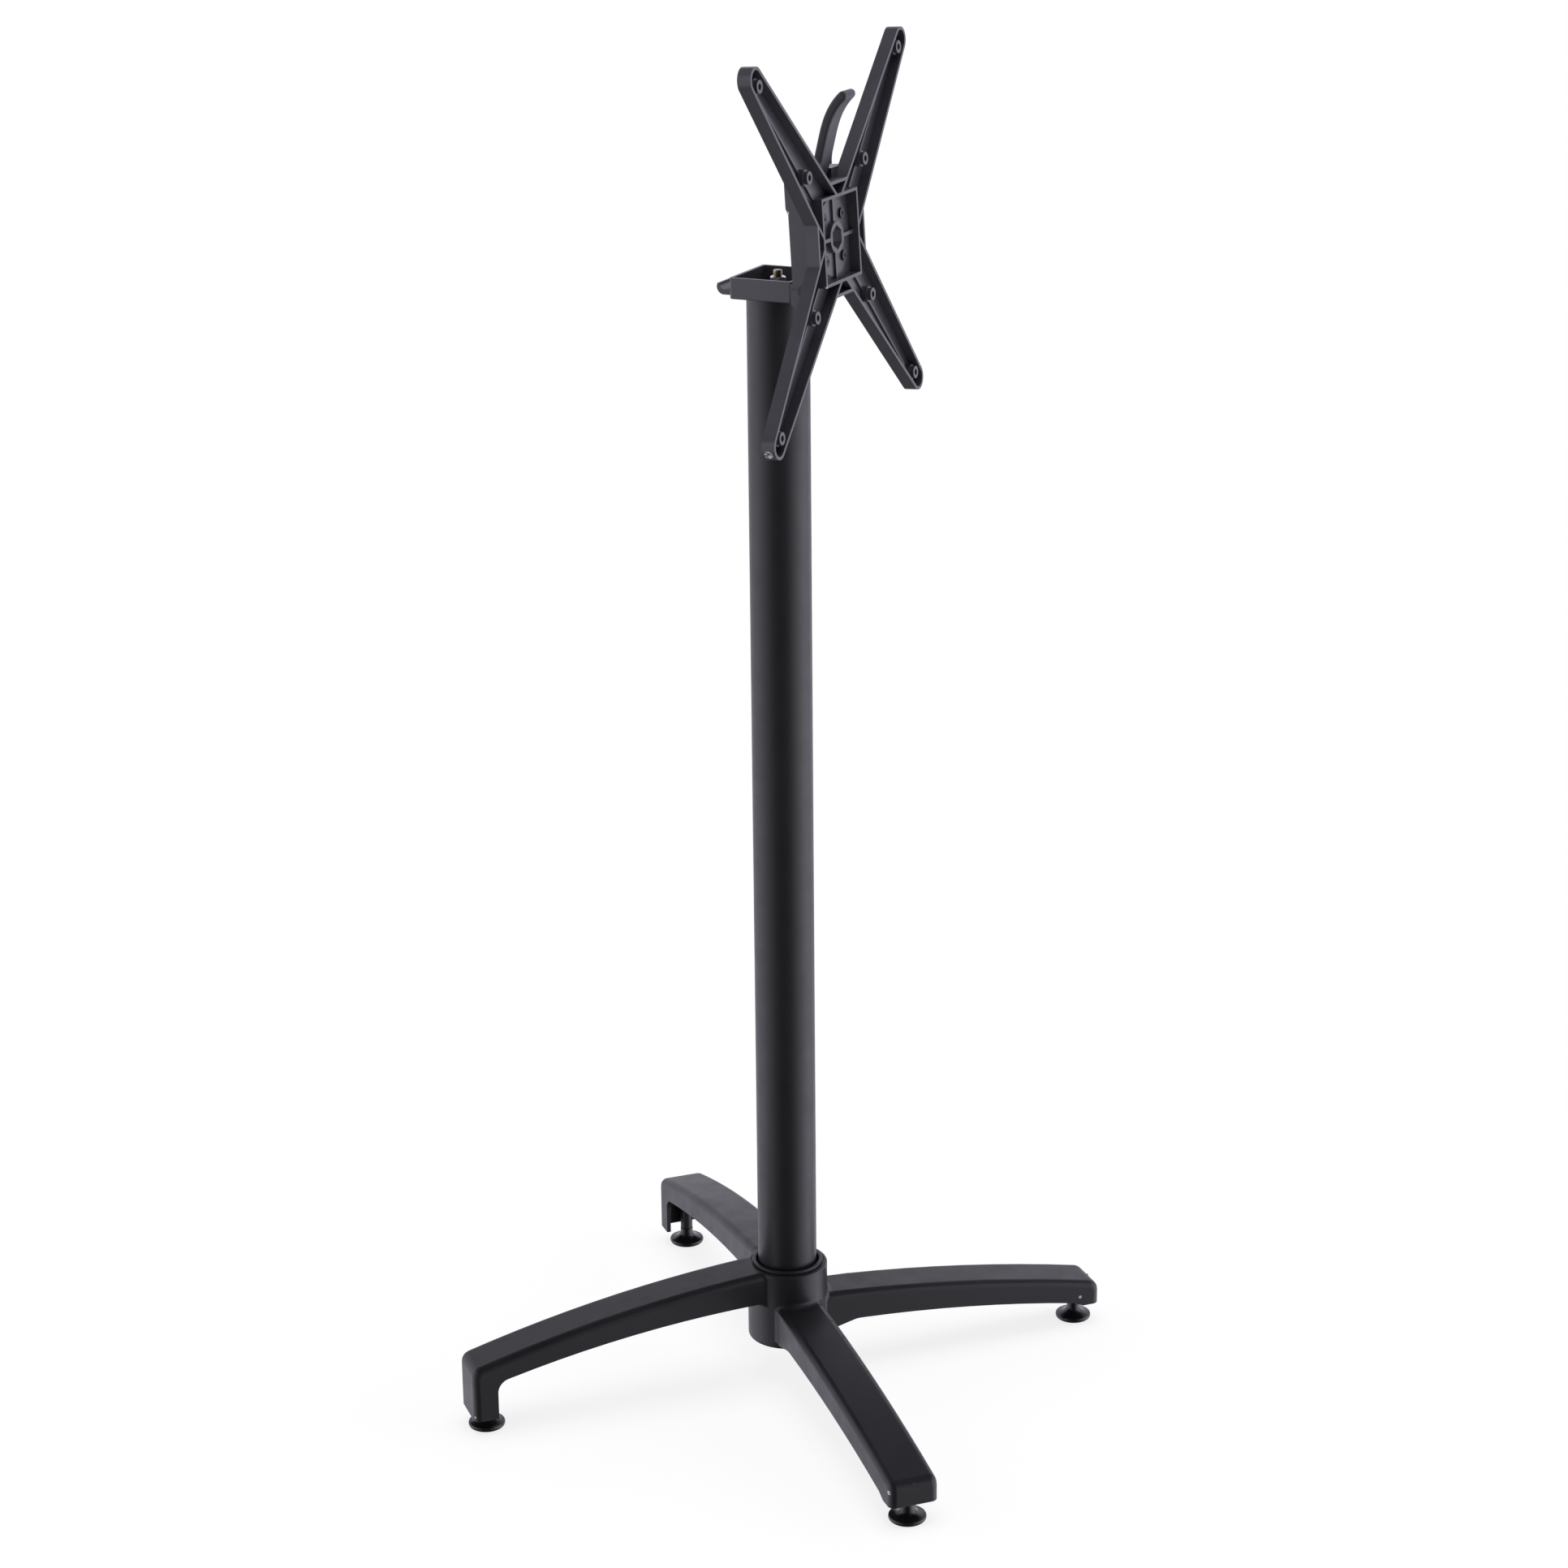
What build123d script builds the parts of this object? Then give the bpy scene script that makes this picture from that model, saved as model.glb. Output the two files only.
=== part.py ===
from build123d import *
from math import cos, radians, sin, sqrt
import os

os.makedirs("parts", exist_ok=True)

# Frame: origin on the floor under the column, +Z up, Y along the tilt hinge,
# +X from the latch end of the tray towards its hinge end. All sizes in mm.

# ---- base casting ----
FOOT_XY = 211.0
FOOT_RADIAL = FOOT_XY * sqrt(2)
LEG_HALF = 23.0
LEG_WALL = 4.0
LEG_END = 315.5
CAST_BOTTOM = {"high": 16.0, "low": 22.0}
LEG_FROM = 20.0
CHANNEL_FROM = 48.0
TOE_R = 10.0
KNEE_R = 13.0
GUSSET_R = 25.0
EDGE_R = 6.5
ROOT_R = 5.0
HUB_R = 37.5
HUB_BOTTOM = 39.0
HUB_TOP = 114.5
HUB_WEB_LOW = 52.0
HUB_WEB_TOP = 60.0
NUT_POCKET_R = 27.0
SOCKET_R = 27.6
GAP_BOTTOM = 106.0
LIP_IN_R = 29.5
LIP_OUT_R = 33.2
LIP_TOP = 117.5
GROOVE_R = 34.6
GROOVE_T = 1.0
# side profiles as (distance from the column axis, height): upper curve, lower curve,
# the distance at which the inboard side of the foot stands, then the way from the
# lower curve into the hub
LEG_PROFILES = {
    "high": (
        [(38.0, 114.5), (183.0, 97.2), (LEG_END, 67.0)],
        [(38.0, 85.0), (160.0, 76.5), (292.5, 52.5)],
        292.5,
        [(LEG_FROM, 85.0)],
    ),
    "low": (
        [(38.0, 82.2), (183.0, 67.6), (LEG_END, 43.6)],
        [(62.0, 52.6), (165.0, 44.9), (288.0, 26.4)],
        298.0,
        [(38.0, 46.5), (LEG_FROM, 46.5)],
    ),
}
LEG_ANGLES = {"high": (135, 225), "low": (45, 315)}

# ---- levelling feet ----
BOSS_R = 6.0
BOSS_INSET = 0.5
BOSS_WEB = 1.5
STEM_BORE_R = 4.05
STEM_R = 4.0
STEM_FROM = 6.0
STEM_TOP = 36.0
PAD_R = 17.0
NECK_R = 6.2
NECK_INSET = 0.2
PAD_FLARE = [(16.5, 4.2), (11.5, 5.4), (7.8, 8.0), (NECK_R, 11.5)]
FEET = {
    "front_left": (-FOOT_XY, -FOOT_XY, "high"),
    "back_left": (-FOOT_XY, FOOT_XY, "high"),
    "front_right": (FOOT_XY, -FOOT_XY, "low"),
    "back_right": (FOOT_XY, FOOT_XY, "low"),
}

# ---- column and tie rod ----
COLUMN_R = 27.5
COLUMN_WALL = 2.0
ROD_R = 4.0
ROD_HOLE_R = 4.3
ROD_BOTTOM = 39.4
ROD_TOP = 1055.2
THREAD_PITCH = 1.25
THREAD_DEPTH = 0.65
THREAD_TURNS = 5
THREAD_FROM = 1048.1
NUT_FLATS = 13.0
NUT_HEIGHT = 6.8
WASHER_R = 8.4
WASHER_T = 2.0
PLATE_WASHER_R = 16.0
PLATE_WASHER_T = 3.0

# ---- tray on top of the column ----
RIM = 1052.0
TRAY_BOTTOM = 1033.4
TRAY_X = 28.5
TRAY_FAR = 30.0
TRAY_Y = 34.5
TRAY_H = RIM - TRAY_BOTTOM
TRAY_WALL = 2.8
TRAY_DEPTH = 14.0
TRAY_CORNER_R = 2.0
NUT_SEAT_R = 11.5
NUT_SEAT_H = 2.6
TOP_WASHER_Z = RIM - TRAY_DEPTH + NUT_SEAT_H
SPIGOT_R = 25.3
SPIGOT_WALL = 3.0
SPIGOT_H = 12.0
HOOK_HALF = 30.5
TROUGH_X = -43.8
HINGE_X = 40.5
HINGE_DROP = 7.0
HINGE_Z = RIM - HINGE_DROP
LUG_R = 6.7
LUG_HALF = 34.4
LUG_WEB = 5.5
PIN_R = 4.0
PIN_BORE_R = 4.05
PIN_HEAD_R = 5.0
PIN_HEAD_T = 1.2

# ---- tilting head: x, y and height are those of the top laid flat ----
OPEN_DEG = 86.6
PLATE_LOW = 0.3
PLATE_TOP = 3.5
HEAD_FAR = -57.0
HEAD_NEAR = 38.0
HEAD_Y = 38.0
SKIRT_T = 2.8
SKIRT_LOW = -16.0
HOOD_LOW = -18.2
HOOD_FROM = -30.0
EAR_X0 = 34.0
EAR_X1 = 53.2
EAR_IN = 34.8
EAR_OUT = 37.6
EAR_LOW = -18.8
EAR_NECK_X = (35.6, 38.9)
EAR_NECK_OUT = 36.8
SLOT_HALF = 12.3
SLOT_TO = -45.0
CHEEK_TO = -45.0
CHEEK_LOW = -9.5
SCREW_BOSS_R = 4.5
SCREW_BOSS_H = 4.0

# ---- latch lever ----
PIVOT_X = -50.0
PIVOT_H = -5.0
PIVOT_R = 4.8
LEVER_HALF = 11.8
LEVER_PIN_R = 2.5
LEVER_BORE_R = 2.56
CHEEK_T = 3.0
LATCH_SWING = 28.0
GRIP_T = 8.0
GRIP_HALF = 11.2
GRIP_EDGE_R = 2.4
GRIP_FLARE = 13.8
GRIP_OUTSIDE = -60.5
# centre line of the grip, then the latch arm and toe about the pivot when latched
GRIP_SPINE = [
    (PIVOT_X, PIVOT_H),
    (-60.0, -0.6),
    (-71.0, 2.9),
    (-84.0, 6.8),
    (-96.0, 10.8),
    (-106.0, 15.6),
    (-114.0, 21.3),
    (-119.8, 27.2),
]
CLAW = [(-4.0, 0.0), (-4.0, -15.0), (10.0, -15.0), (10.0, -11.6), (4.5, -11.6), (4.5, 0.0)]

# ---- spider ----
SPIDER_LOW = PLATE_TOP
SPIDER_RIM = 15.5
SPIDER_FLOOR = 2.7
SPIDER_WALL = 2.7
ARM_END = 211.4
ARM_HALF_IN = 25.6
ARM_HALF_OUT = 11.2
CORE_HALF = 49.0
FRAME_HALF = 36.2
BOSS_IN = 58.7
BOSS_OUT = 143.9
BOSS_COLLAR_R = 6.9
BOSS_COLLAR_TOP = 11.7
BOSS_RING_R = 5.5
BOSS_HOLE_R = 2.7
WALL_FROM = 27.5
WALL_TO = 50.0
ARM_RIB_FROM = 50.0
ARM_RIB_W = 2.0
ARM_RIB_H = 2.0
DISC_R = 33.3
HEX_FLATS = 18.3
HEX_COLLAR_R = 13.7
SCREW_XY = 18.0
SCREW_R = 2.5
SCREW_HEAD_R = 4.6
SCREW_HEAD_H = 1.8
SCREW_SEAT = SPIDER_LOW + SPIDER_FLOOR + 1.0
SCREW_TIP = -3.0

# The head's own frame, placed where the top stands opened by OPEN_DEG about the hinge.
_c = cos(radians(OPEN_DEG))
_s = sin(radians(OPEN_DEG))
HEAD_ORIGIN = (
    HINGE_X - HINGE_X * _c + HINGE_DROP * _s,
    0,
    RIM - HINGE_DROP + HINGE_X * _s + HINGE_DROP * _c,
)
HEAD = Plane(origin=HEAD_ORIGIN, x_dir=(_c, 0, -_s), z_dir=(_s, 0, _c))
HEAD_SIDE = Plane(origin=HEAD_ORIGIN, x_dir=(_c, 0, -_s), z_dir=(0, -1, 0))


def polar_radius(shape):
    """Distance of a shape's centre from the column axis."""
    p = shape.center()
    return sqrt(p.X**2 + p.Y**2)


def polar_reach(shape):
    """Largest distance of a shape's box from the column axis."""
    box = shape.bounding_box()
    return max(abs(box.min.X), abs(box.max.X))


def make_leg(kind):
    """One hollow cast leg laid along +X, its foot boss bored for the levelling stem."""
    top, under, foot_from, into_hub = LEG_PROFILES[kind]
    bottom = CAST_BOTTOM[kind]
    with BuildPart() as leg:
        with BuildSketch(Plane.XZ) as side:
            with BuildLine():
                ThreePointArc(top[0], top[1], top[2])
                Polyline(top[2], (LEG_END, bottom), (foot_from, bottom), under[2])
                ThreePointArc(under[2], under[1], under[0])
                Polyline(under[0], *into_hub, (LEG_FROM, top[0][1]), top[0])
            make_face()
            toe = side.vertices().sort_by_distance(top[2])[0]
            fillet(toe, radius=TOE_R)
            if kind == "high":
                knee = side.vertices().sort_by_distance(under[2])[0]
                fillet(knee, radius=KNEE_R)
            else:
                gusset = side.vertices().sort_by_distance(under[0])[0]
                fillet(gusset, radius=GUSSET_R)
        extrude(amount=LEG_HALF, both=True)
        # the long upper edges round over and run down the corners of the foot
        long_edges = leg.edges().filter_by(lambda e: e.length > 200)
        fillet(long_edges.sort_by(Axis.Z)[-2:], radius=EDGE_R)
        # hollow underside, open downwards and on the inboard side of the foot
        with BuildSketch(Plane.XZ):
            with BuildLine():
                ThreePointArc(
                    (CHANNEL_FROM, top[0][1] - LEG_WALL - 2.0),
                    (top[1][0], top[1][1] - LEG_WALL),
                    (LEG_END - LEG_WALL, top[2][1] - LEG_WALL),
                )
                Polyline(
                    (LEG_END - LEG_WALL, top[2][1] - LEG_WALL),
                    (LEG_END - LEG_WALL, 0),
                    (CHANNEL_FROM, 0),
                    (CHANNEL_FROM, top[0][1] - LEG_WALL - 2.0),
                )
            make_face()
        extrude(amount=LEG_HALF - LEG_WALL, both=True, mode=Mode.SUBTRACT)
        # foot boss with its web to the end wall
        boss_bottom = bottom + BOSS_INSET
        boss_h = top[2][1] - 1.0 - boss_bottom
        with BuildSketch(Plane.XY.offset(boss_bottom)):
            with Locations((FOOT_RADIAL, 0)):
                Circle(BOSS_R)
            with Locations(((FOOT_RADIAL + LEG_END - 2.0) / 2, 0)):
                Rectangle(LEG_END - 2.0 - FOOT_RADIAL, 2 * BOSS_WEB)
        extrude(amount=boss_h)
        with BuildSketch(Plane.XY.offset(boss_bottom)):
            with Locations((FOOT_RADIAL, 0)):
                Circle(STEM_BORE_R)
        extrude(amount=STEM_TOP + 2.0 - boss_bottom, mode=Mode.SUBTRACT)
    return leg


def make_base_casting():
    """Hub with two high and two low legs, hollow underneath, as one die casting."""
    legs = {kind: make_leg(kind) for kind in LEG_PROFILES}
    with BuildPart() as base_casting:
        with BuildSketch(Plane.XY.offset(HUB_BOTTOM)):
            Circle(HUB_R)
        extrude(amount=HUB_TOP - HUB_BOTTOM)
        fillet(base_casting.edges().sort_by(Axis.Z)[-1], radius=2.0)
        fillet(base_casting.edges().sort_by(Axis.Z)[0], radius=3.0)
        for kind, angles in LEG_ANGLES.items():
            for angle in angles:
                add(legs[kind].part, rotation=(0, 0, angle))
        # cast fillets where the legs grow out of the hub: upright, then over the low
        # legs and under the high ones
        root_z = (LEG_PROFILES["low"][0][0][1], LEG_PROFILES["high"][1][0][1])
        near_hub = base_casting.edges().filter_by(lambda e: abs(polar_radius(e) - HUB_R) < 0.7)
        upright = near_hub.filter_by(Axis.Z)
        across = near_hub.filter_by(
            lambda e: e.length > 20 and min(abs(e.center().Z - z) for z in root_z) < 0.5
        )
        fillet(upright + across, radius=ROOT_R)
        # socket for the column, open gap round it, and raised lip with a groove at the mouth
        with BuildSketch(Plane.XY.offset(HUB_WEB_TOP)):
            Circle(SOCKET_R)
        extrude(amount=LIP_TOP - HUB_WEB_TOP, mode=Mode.SUBTRACT)
        with BuildSketch(Plane.XY.offset(GAP_BOTTOM)):
            Circle(LIP_IN_R)
        extrude(amount=LIP_TOP - GAP_BOTTOM, mode=Mode.SUBTRACT)
        with BuildSketch(Plane.XY.offset(HUB_TOP)):
            Circle(GROOVE_R)
            Circle(LIP_OUT_R, mode=Mode.SUBTRACT)
        extrude(amount=-GROOVE_T, mode=Mode.SUBTRACT)
        with BuildSketch(Plane.XY.offset(HUB_TOP)):
            Circle(LIP_OUT_R)
            Circle(LIP_IN_R, mode=Mode.SUBTRACT)
        extrude(amount=LIP_TOP - HUB_TOP)
        lip_edges = base_casting.edges().group_by(Axis.Z)[-1]
        fillet(lip_edges, radius=1.0)
        # nut pocket under the web, and the hole for the tie rod
        with BuildSketch(Plane.XY.offset(HUB_BOTTOM)):
            Circle(NUT_POCKET_R)
        extrude(amount=HUB_WEB_LOW - HUB_BOTTOM, mode=Mode.SUBTRACT)
        with BuildSketch(Plane.XY.offset(HUB_WEB_LOW)):
            Circle(ROD_HOLE_R)
        extrude(amount=HUB_WEB_TOP - HUB_WEB_LOW, mode=Mode.SUBTRACT)
    return base_casting


def make_foot_pad(x, y, kind):
    """Golf-tee glide moulded round the lower end of its stem, its neck up to the leg."""
    neck_top = CAST_BOTTOM[kind] + NECK_INSET
    with BuildPart() as foot_pad:
        with BuildSketch(Plane(origin=(x, y, 0), x_dir=(1, 0, 0), z_dir=(0, -1, 0))):
            with BuildLine():
                Polyline((0, 0), (15.5, 0))
                ThreePointArc((15.5, 0), (PAD_R, 2.2), (16.5, 4.2))
                Spline(*PAD_FLARE)
                Polyline((NECK_R, 11.5), (NECK_R, neck_top - 0.6), (NECK_R - 0.6, neck_top))
                Polyline((NECK_R - 0.6, neck_top), (STEM_R, neck_top), (STEM_R, STEM_FROM))
                Polyline((STEM_R, STEM_FROM), (0, STEM_FROM), (0, 0))
            make_face()
        revolve(axis=Axis((x, y, 0), (0, 0, 1)))
    return foot_pad


def make_foot_stem(x, y):
    """M8 levelling stem, held in the glide below and in the foot boss above."""
    with BuildPart() as foot_stem:
        with BuildSketch(Plane.XY.offset(STEM_FROM)):
            with Locations((x, y)):
                Circle(STEM_R)
        extrude(amount=STEM_TOP - STEM_FROM)
        chamfer(foot_stem.edges().sort_by(Axis.Z)[-1], length=1.0)
    return foot_stem


def make_column_tube():
    """Round steel column, standing in the hub socket and carrying the tray casting."""
    with BuildPart() as column_tube:
        with BuildSketch(Plane.XY.offset(HUB_WEB_TOP)):
            Circle(COLUMN_R)
            Circle(COLUMN_R - COLUMN_WALL, mode=Mode.SUBTRACT)
        extrude(amount=TRAY_BOTTOM - HUB_WEB_TOP)
    return column_tube


def make_tie_rod():
    """M8 rod that pulls the tray, the column and the base together, with its threaded end."""
    with BuildPart() as tie_rod:
        with BuildSketch(Plane.XZ):
            with BuildLine():
                Polyline((0, ROD_TOP), (0, ROD_BOTTOM), (ROD_R, ROD_BOTTOM), (ROD_R, THREAD_FROM))
                for turn in range(THREAD_TURNS):
                    z = THREAD_FROM + turn * THREAD_PITCH
                    Line((ROD_R, z), (ROD_R - THREAD_DEPTH, z + THREAD_PITCH / 2))
                    Line((ROD_R - THREAD_DEPTH, z + THREAD_PITCH / 2), (ROD_R, z + THREAD_PITCH))
                thread_end = THREAD_FROM + THREAD_TURNS * THREAD_PITCH
                Polyline((ROD_R, thread_end), (ROD_R - 0.6, ROD_TOP), (0, ROD_TOP))
            make_face()
        revolve(axis=Axis.Z)
    return tie_rod


def make_nut(bottom):
    """Hexagon nut with chamfered corners on the tie rod."""
    corner = NUT_FLATS / sqrt(3)
    with BuildPart() as nut:
        with BuildSketch(Plane.XY.offset(bottom)):
            RegularPolygon(radius=NUT_FLATS / 2, side_count=6, major_radius=False)
            Circle(ROD_R, mode=Mode.SUBTRACT)
        extrude(amount=NUT_HEIGHT)
        with BuildSketch(Plane.XZ):
            with BuildLine():
                Polyline(
                    (0, bottom),
                    (NUT_FLATS / 2, bottom),
                    (corner, bottom + 0.8),
                    (corner, bottom + NUT_HEIGHT - 0.8),
                    (NUT_FLATS / 2, bottom + NUT_HEIGHT),
                    (0, bottom + NUT_HEIGHT),
                    (0, bottom),
                )
            make_face()
        revolve(axis=Axis.Z, mode=Mode.INTERSECT)
    return nut


def make_washer(bottom, radius, thickness):
    """Plain washer on the tie rod."""
    with BuildPart() as washer:
        with BuildSketch(Plane.XY.offset(bottom)):
            Circle(radius)
            Circle(ROD_HOLE_R, mode=Mode.SUBTRACT)
        extrude(amount=thickness)
        fillet(washer.edges().filter_by(lambda e: polar_reach(e) > radius - 0.1), radius=0.4)
    return washer


def make_tray_casting():
    """Open tray on the column: spigot below, hinge barrel at +X, catch trough at -X."""
    with BuildPart() as tray_casting:
        with BuildSketch(Plane.XY.offset(TRAY_BOTTOM)):
            with Locations(((TRAY_X - TRAY_FAR) / 2, 0)):
                RectangleRounded(TRAY_X + TRAY_FAR, 2 * TRAY_Y, TRAY_CORNER_R)
        extrude(amount=TRAY_H)
        fillet(tray_casting.edges().group_by(Axis.Z)[0], radius=1.5)
        # hinge barrel and its web
        with BuildSketch(Plane.XZ):
            with Locations((HINGE_X, HINGE_Z)):
                Circle(LUG_R)
            with Locations(((TRAY_X - 1.0 + HINGE_X) / 2, HINGE_Z)):
                Rectangle(HINGE_X - TRAY_X + 1.0, 2 * LUG_WEB)
        extrude(amount=LUG_HALF, both=True)
        # catch trough for the latch toe
        with BuildSketch(Plane.XZ):
            with BuildLine():
                Polyline((-TRAY_FAR + 1.0, RIM - 15.8), (-37.5, RIM - 15.8))
                ThreePointArc((-37.5, RIM - 15.8), (-42.2, RIM - 13.4), (TROUGH_X, RIM - 8.5))
                Polyline((TROUGH_X, RIM - 8.5), (-43.2, RIM - 6.0), (-41.7, RIM - 6.2))
                ThreePointArc((-41.7, RIM - 6.2), (-39.4, RIM - 10.2), (-35.5, RIM - 11.2))
                ThreePointArc((-35.5, RIM - 11.2), (-32.0, RIM - 10.6), (-TRAY_FAR + 1.0, RIM - 8.8))
                Line((-TRAY_FAR + 1.0, RIM - 8.8), (-TRAY_FAR + 1.0, RIM - 15.8))
            make_face()
        extrude(amount=HOOK_HALF, both=True)
        # pocket with the nut seat, bores and the spigot that centres the tray in the column
        with BuildSketch(Plane.XY.offset(RIM - TRAY_DEPTH)):
            with Locations(((TRAY_X - TRAY_FAR) / 2, 0)):
                RectangleRounded(
                    TRAY_X + TRAY_FAR - 2 * TRAY_WALL, 2 * (TRAY_Y - TRAY_WALL), TRAY_CORNER_R
                )
        extrude(amount=TRAY_DEPTH, mode=Mode.SUBTRACT)
        with BuildSketch(Plane.XY.offset(RIM - TRAY_DEPTH)):
            Circle(NUT_SEAT_R)
        extrude(amount=NUT_SEAT_H)
        with BuildSketch(Plane.XZ):
            with Locations((HINGE_X, HINGE_Z)):
                Circle(PIN_BORE_R)
        extrude(amount=LUG_HALF, both=True, mode=Mode.SUBTRACT)
        with BuildSketch(Plane.XY.offset(TRAY_BOTTOM)):
            Circle(SPIGOT_R)
            Circle(SPIGOT_R - SPIGOT_WALL, mode=Mode.SUBTRACT)
        extrude(amount=-SPIGOT_H)
        with BuildSketch(Plane.XY.offset(TRAY_BOTTOM)):
            Circle(ROD_HOLE_R)
        extrude(amount=TRAY_H, mode=Mode.SUBTRACT)
    return tray_casting


def make_hinge_pin():
    """Headed pin through the ears of the head and the barrel of the tray."""
    with BuildPart() as hinge_pin:
        with BuildSketch(Plane.XZ):
            with Locations((HINGE_X, HINGE_Z)):
                Circle(PIN_R)
        extrude(amount=EAR_OUT, both=True)
        for side in (-1, 1):
            with BuildSketch(Plane.XZ.offset(side * (EAR_OUT - PIN_HEAD_T))):
                with Locations((HINGE_X, HINGE_Z)):
                    Circle(PIN_HEAD_R)
            extrude(amount=side * PIN_HEAD_T)
    return hinge_pin


def make_tilt_head():
    """Hood that closes over the tray: plate, skirts, hinge ears and lever cheeks."""
    with BuildPart() as tilt_head:
        # solid hood outline, deeper towards the latch end
        with BuildSketch(HEAD_SIDE) as outline:
            with BuildLine():
                Polyline(
                    (HEAD_FAR, PLATE_TOP),
                    (HEAD_FAR, HOOD_LOW),
                    (HOOD_FROM, HOOD_LOW),
                    (HOOD_FROM + 6.0, SKIRT_LOW),
                    (HEAD_NEAR, SKIRT_LOW),
                    (HEAD_NEAR, PLATE_TOP),
                    (HEAD_FAR, PLATE_TOP),
                )
            make_face()
        extrude(amount=HEAD_Y, both=True)
        # block for the hinge ears, a little inside the skirts
        with BuildSketch(HEAD_SIDE) as ears:
            with BuildLine():
                Polyline(
                    (EAR_X0, PLATE_TOP),
                    (EAR_X0, SKIRT_LOW),
                    (EAR_NECK_X[1] - 1.0, SKIRT_LOW),
                    (EAR_NECK_X[1], EAR_LOW),
                    (EAR_X1 - 1.5, EAR_LOW),
                    (EAR_X1, EAR_LOW + 1.5),
                    (EAR_X1, PLATE_TOP),
                    (EAR_X0, PLATE_TOP),
                )
            make_face()
        extrude(amount=EAR_OUT, both=True)
        # open the inside, leaving plate, skirts, the far wall and the step to the ears
        with BuildSketch(HEAD.offset(PLATE_LOW)):
            with Locations(((HEAD_FAR + SKIRT_T + EAR_X0) / 2, 0)):
                Rectangle(EAR_X0 - HEAD_FAR - SKIRT_T, 2 * (HEAD_Y - SKIRT_T))
            with Locations(((EAR_X0 + EAR_X1) / 2, 0)):
                Rectangle(EAR_X1 - EAR_X0, 2 * EAR_IN)
        extrude(amount=EAR_LOW - PLATE_LOW, mode=Mode.SUBTRACT)
        # shallow neck between each skirt and its ear
        with BuildSketch(HEAD.offset(PLATE_LOW)):
            with Locations((sum(EAR_NECK_X) / 2, 0)):
                Rectangle(EAR_NECK_X[1] - EAR_NECK_X[0], 2 * HEAD_Y)
                Rectangle(EAR_NECK_X[1] - EAR_NECK_X[0], 2 * EAR_NECK_OUT, mode=Mode.SUBTRACT)
        extrude(amount=EAR_LOW - PLATE_LOW, mode=Mode.SUBTRACT)
        # slot for the lever through the far wall and the edge of the plate
        with BuildSketch(HEAD.offset(PLATE_TOP)):
            with Locations(((HEAD_FAR + SLOT_TO) / 2, 0)):
                Rectangle(SLOT_TO - HEAD_FAR, 2 * SLOT_HALF)
        extrude(amount=HOOD_LOW - PLATE_TOP, mode=Mode.SUBTRACT)
        # cheeks that carry the lever pin
        for side in (-1, 1):
            with BuildSketch(HEAD_SIDE.offset(side * SLOT_HALF)):
                with Locations(((HEAD_FAR + CHEEK_TO) / 2, (CHEEK_LOW + PLATE_TOP) / 2)):
                    Rectangle(CHEEK_TO - HEAD_FAR, PLATE_TOP - CHEEK_LOW)
            extrude(amount=side * CHEEK_T)
        # screw bosses under the plate
        with BuildSketch(HEAD.offset(PLATE_LOW)):
            with GridLocations(2 * SCREW_XY, 2 * SCREW_XY, 2, 2):
                Circle(SCREW_BOSS_R)
        extrude(amount=-SCREW_BOSS_H)
        # bores: hinge pin, pin head seats, lever pin, screws and the centre hexagon
        with BuildSketch(HEAD_SIDE):
            with Locations((HINGE_X, -HINGE_DROP)):
                Circle(PIN_R)
            with Locations((PIVOT_X, PIVOT_H)):
                Circle(LEVER_PIN_R)
        extrude(amount=HEAD_Y, both=True, mode=Mode.SUBTRACT)
        for side in (-1, 1):
            with BuildSketch(HEAD_SIDE.offset(side * EAR_OUT)):
                with Locations((HINGE_X, -HINGE_DROP)):
                    Circle(PIN_HEAD_R)
            extrude(amount=-side * PIN_HEAD_T, mode=Mode.SUBTRACT)
        with BuildSketch(HEAD.offset(PLATE_TOP)):
            with GridLocations(2 * SCREW_XY, 2 * SCREW_XY, 2, 2):
                Circle(SCREW_R)
            RegularPolygon(radius=HEX_FLATS / 2, side_count=6, major_radius=False)
        extrude(amount=PLATE_LOW - SCREW_BOSS_H - PLATE_TOP, mode=Mode.SUBTRACT)
    return tilt_head


def make_lever_pin():
    """Cross pin of the latch lever, pressed in the two cheeks."""
    with BuildPart() as lever_pin:
        with BuildSketch(HEAD_SIDE):
            with Locations((PIVOT_X, PIVOT_H)):
                Circle(LEVER_PIN_R)
        extrude(amount=SLOT_HALF + CHEEK_T, both=True)
    return lever_pin


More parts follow.
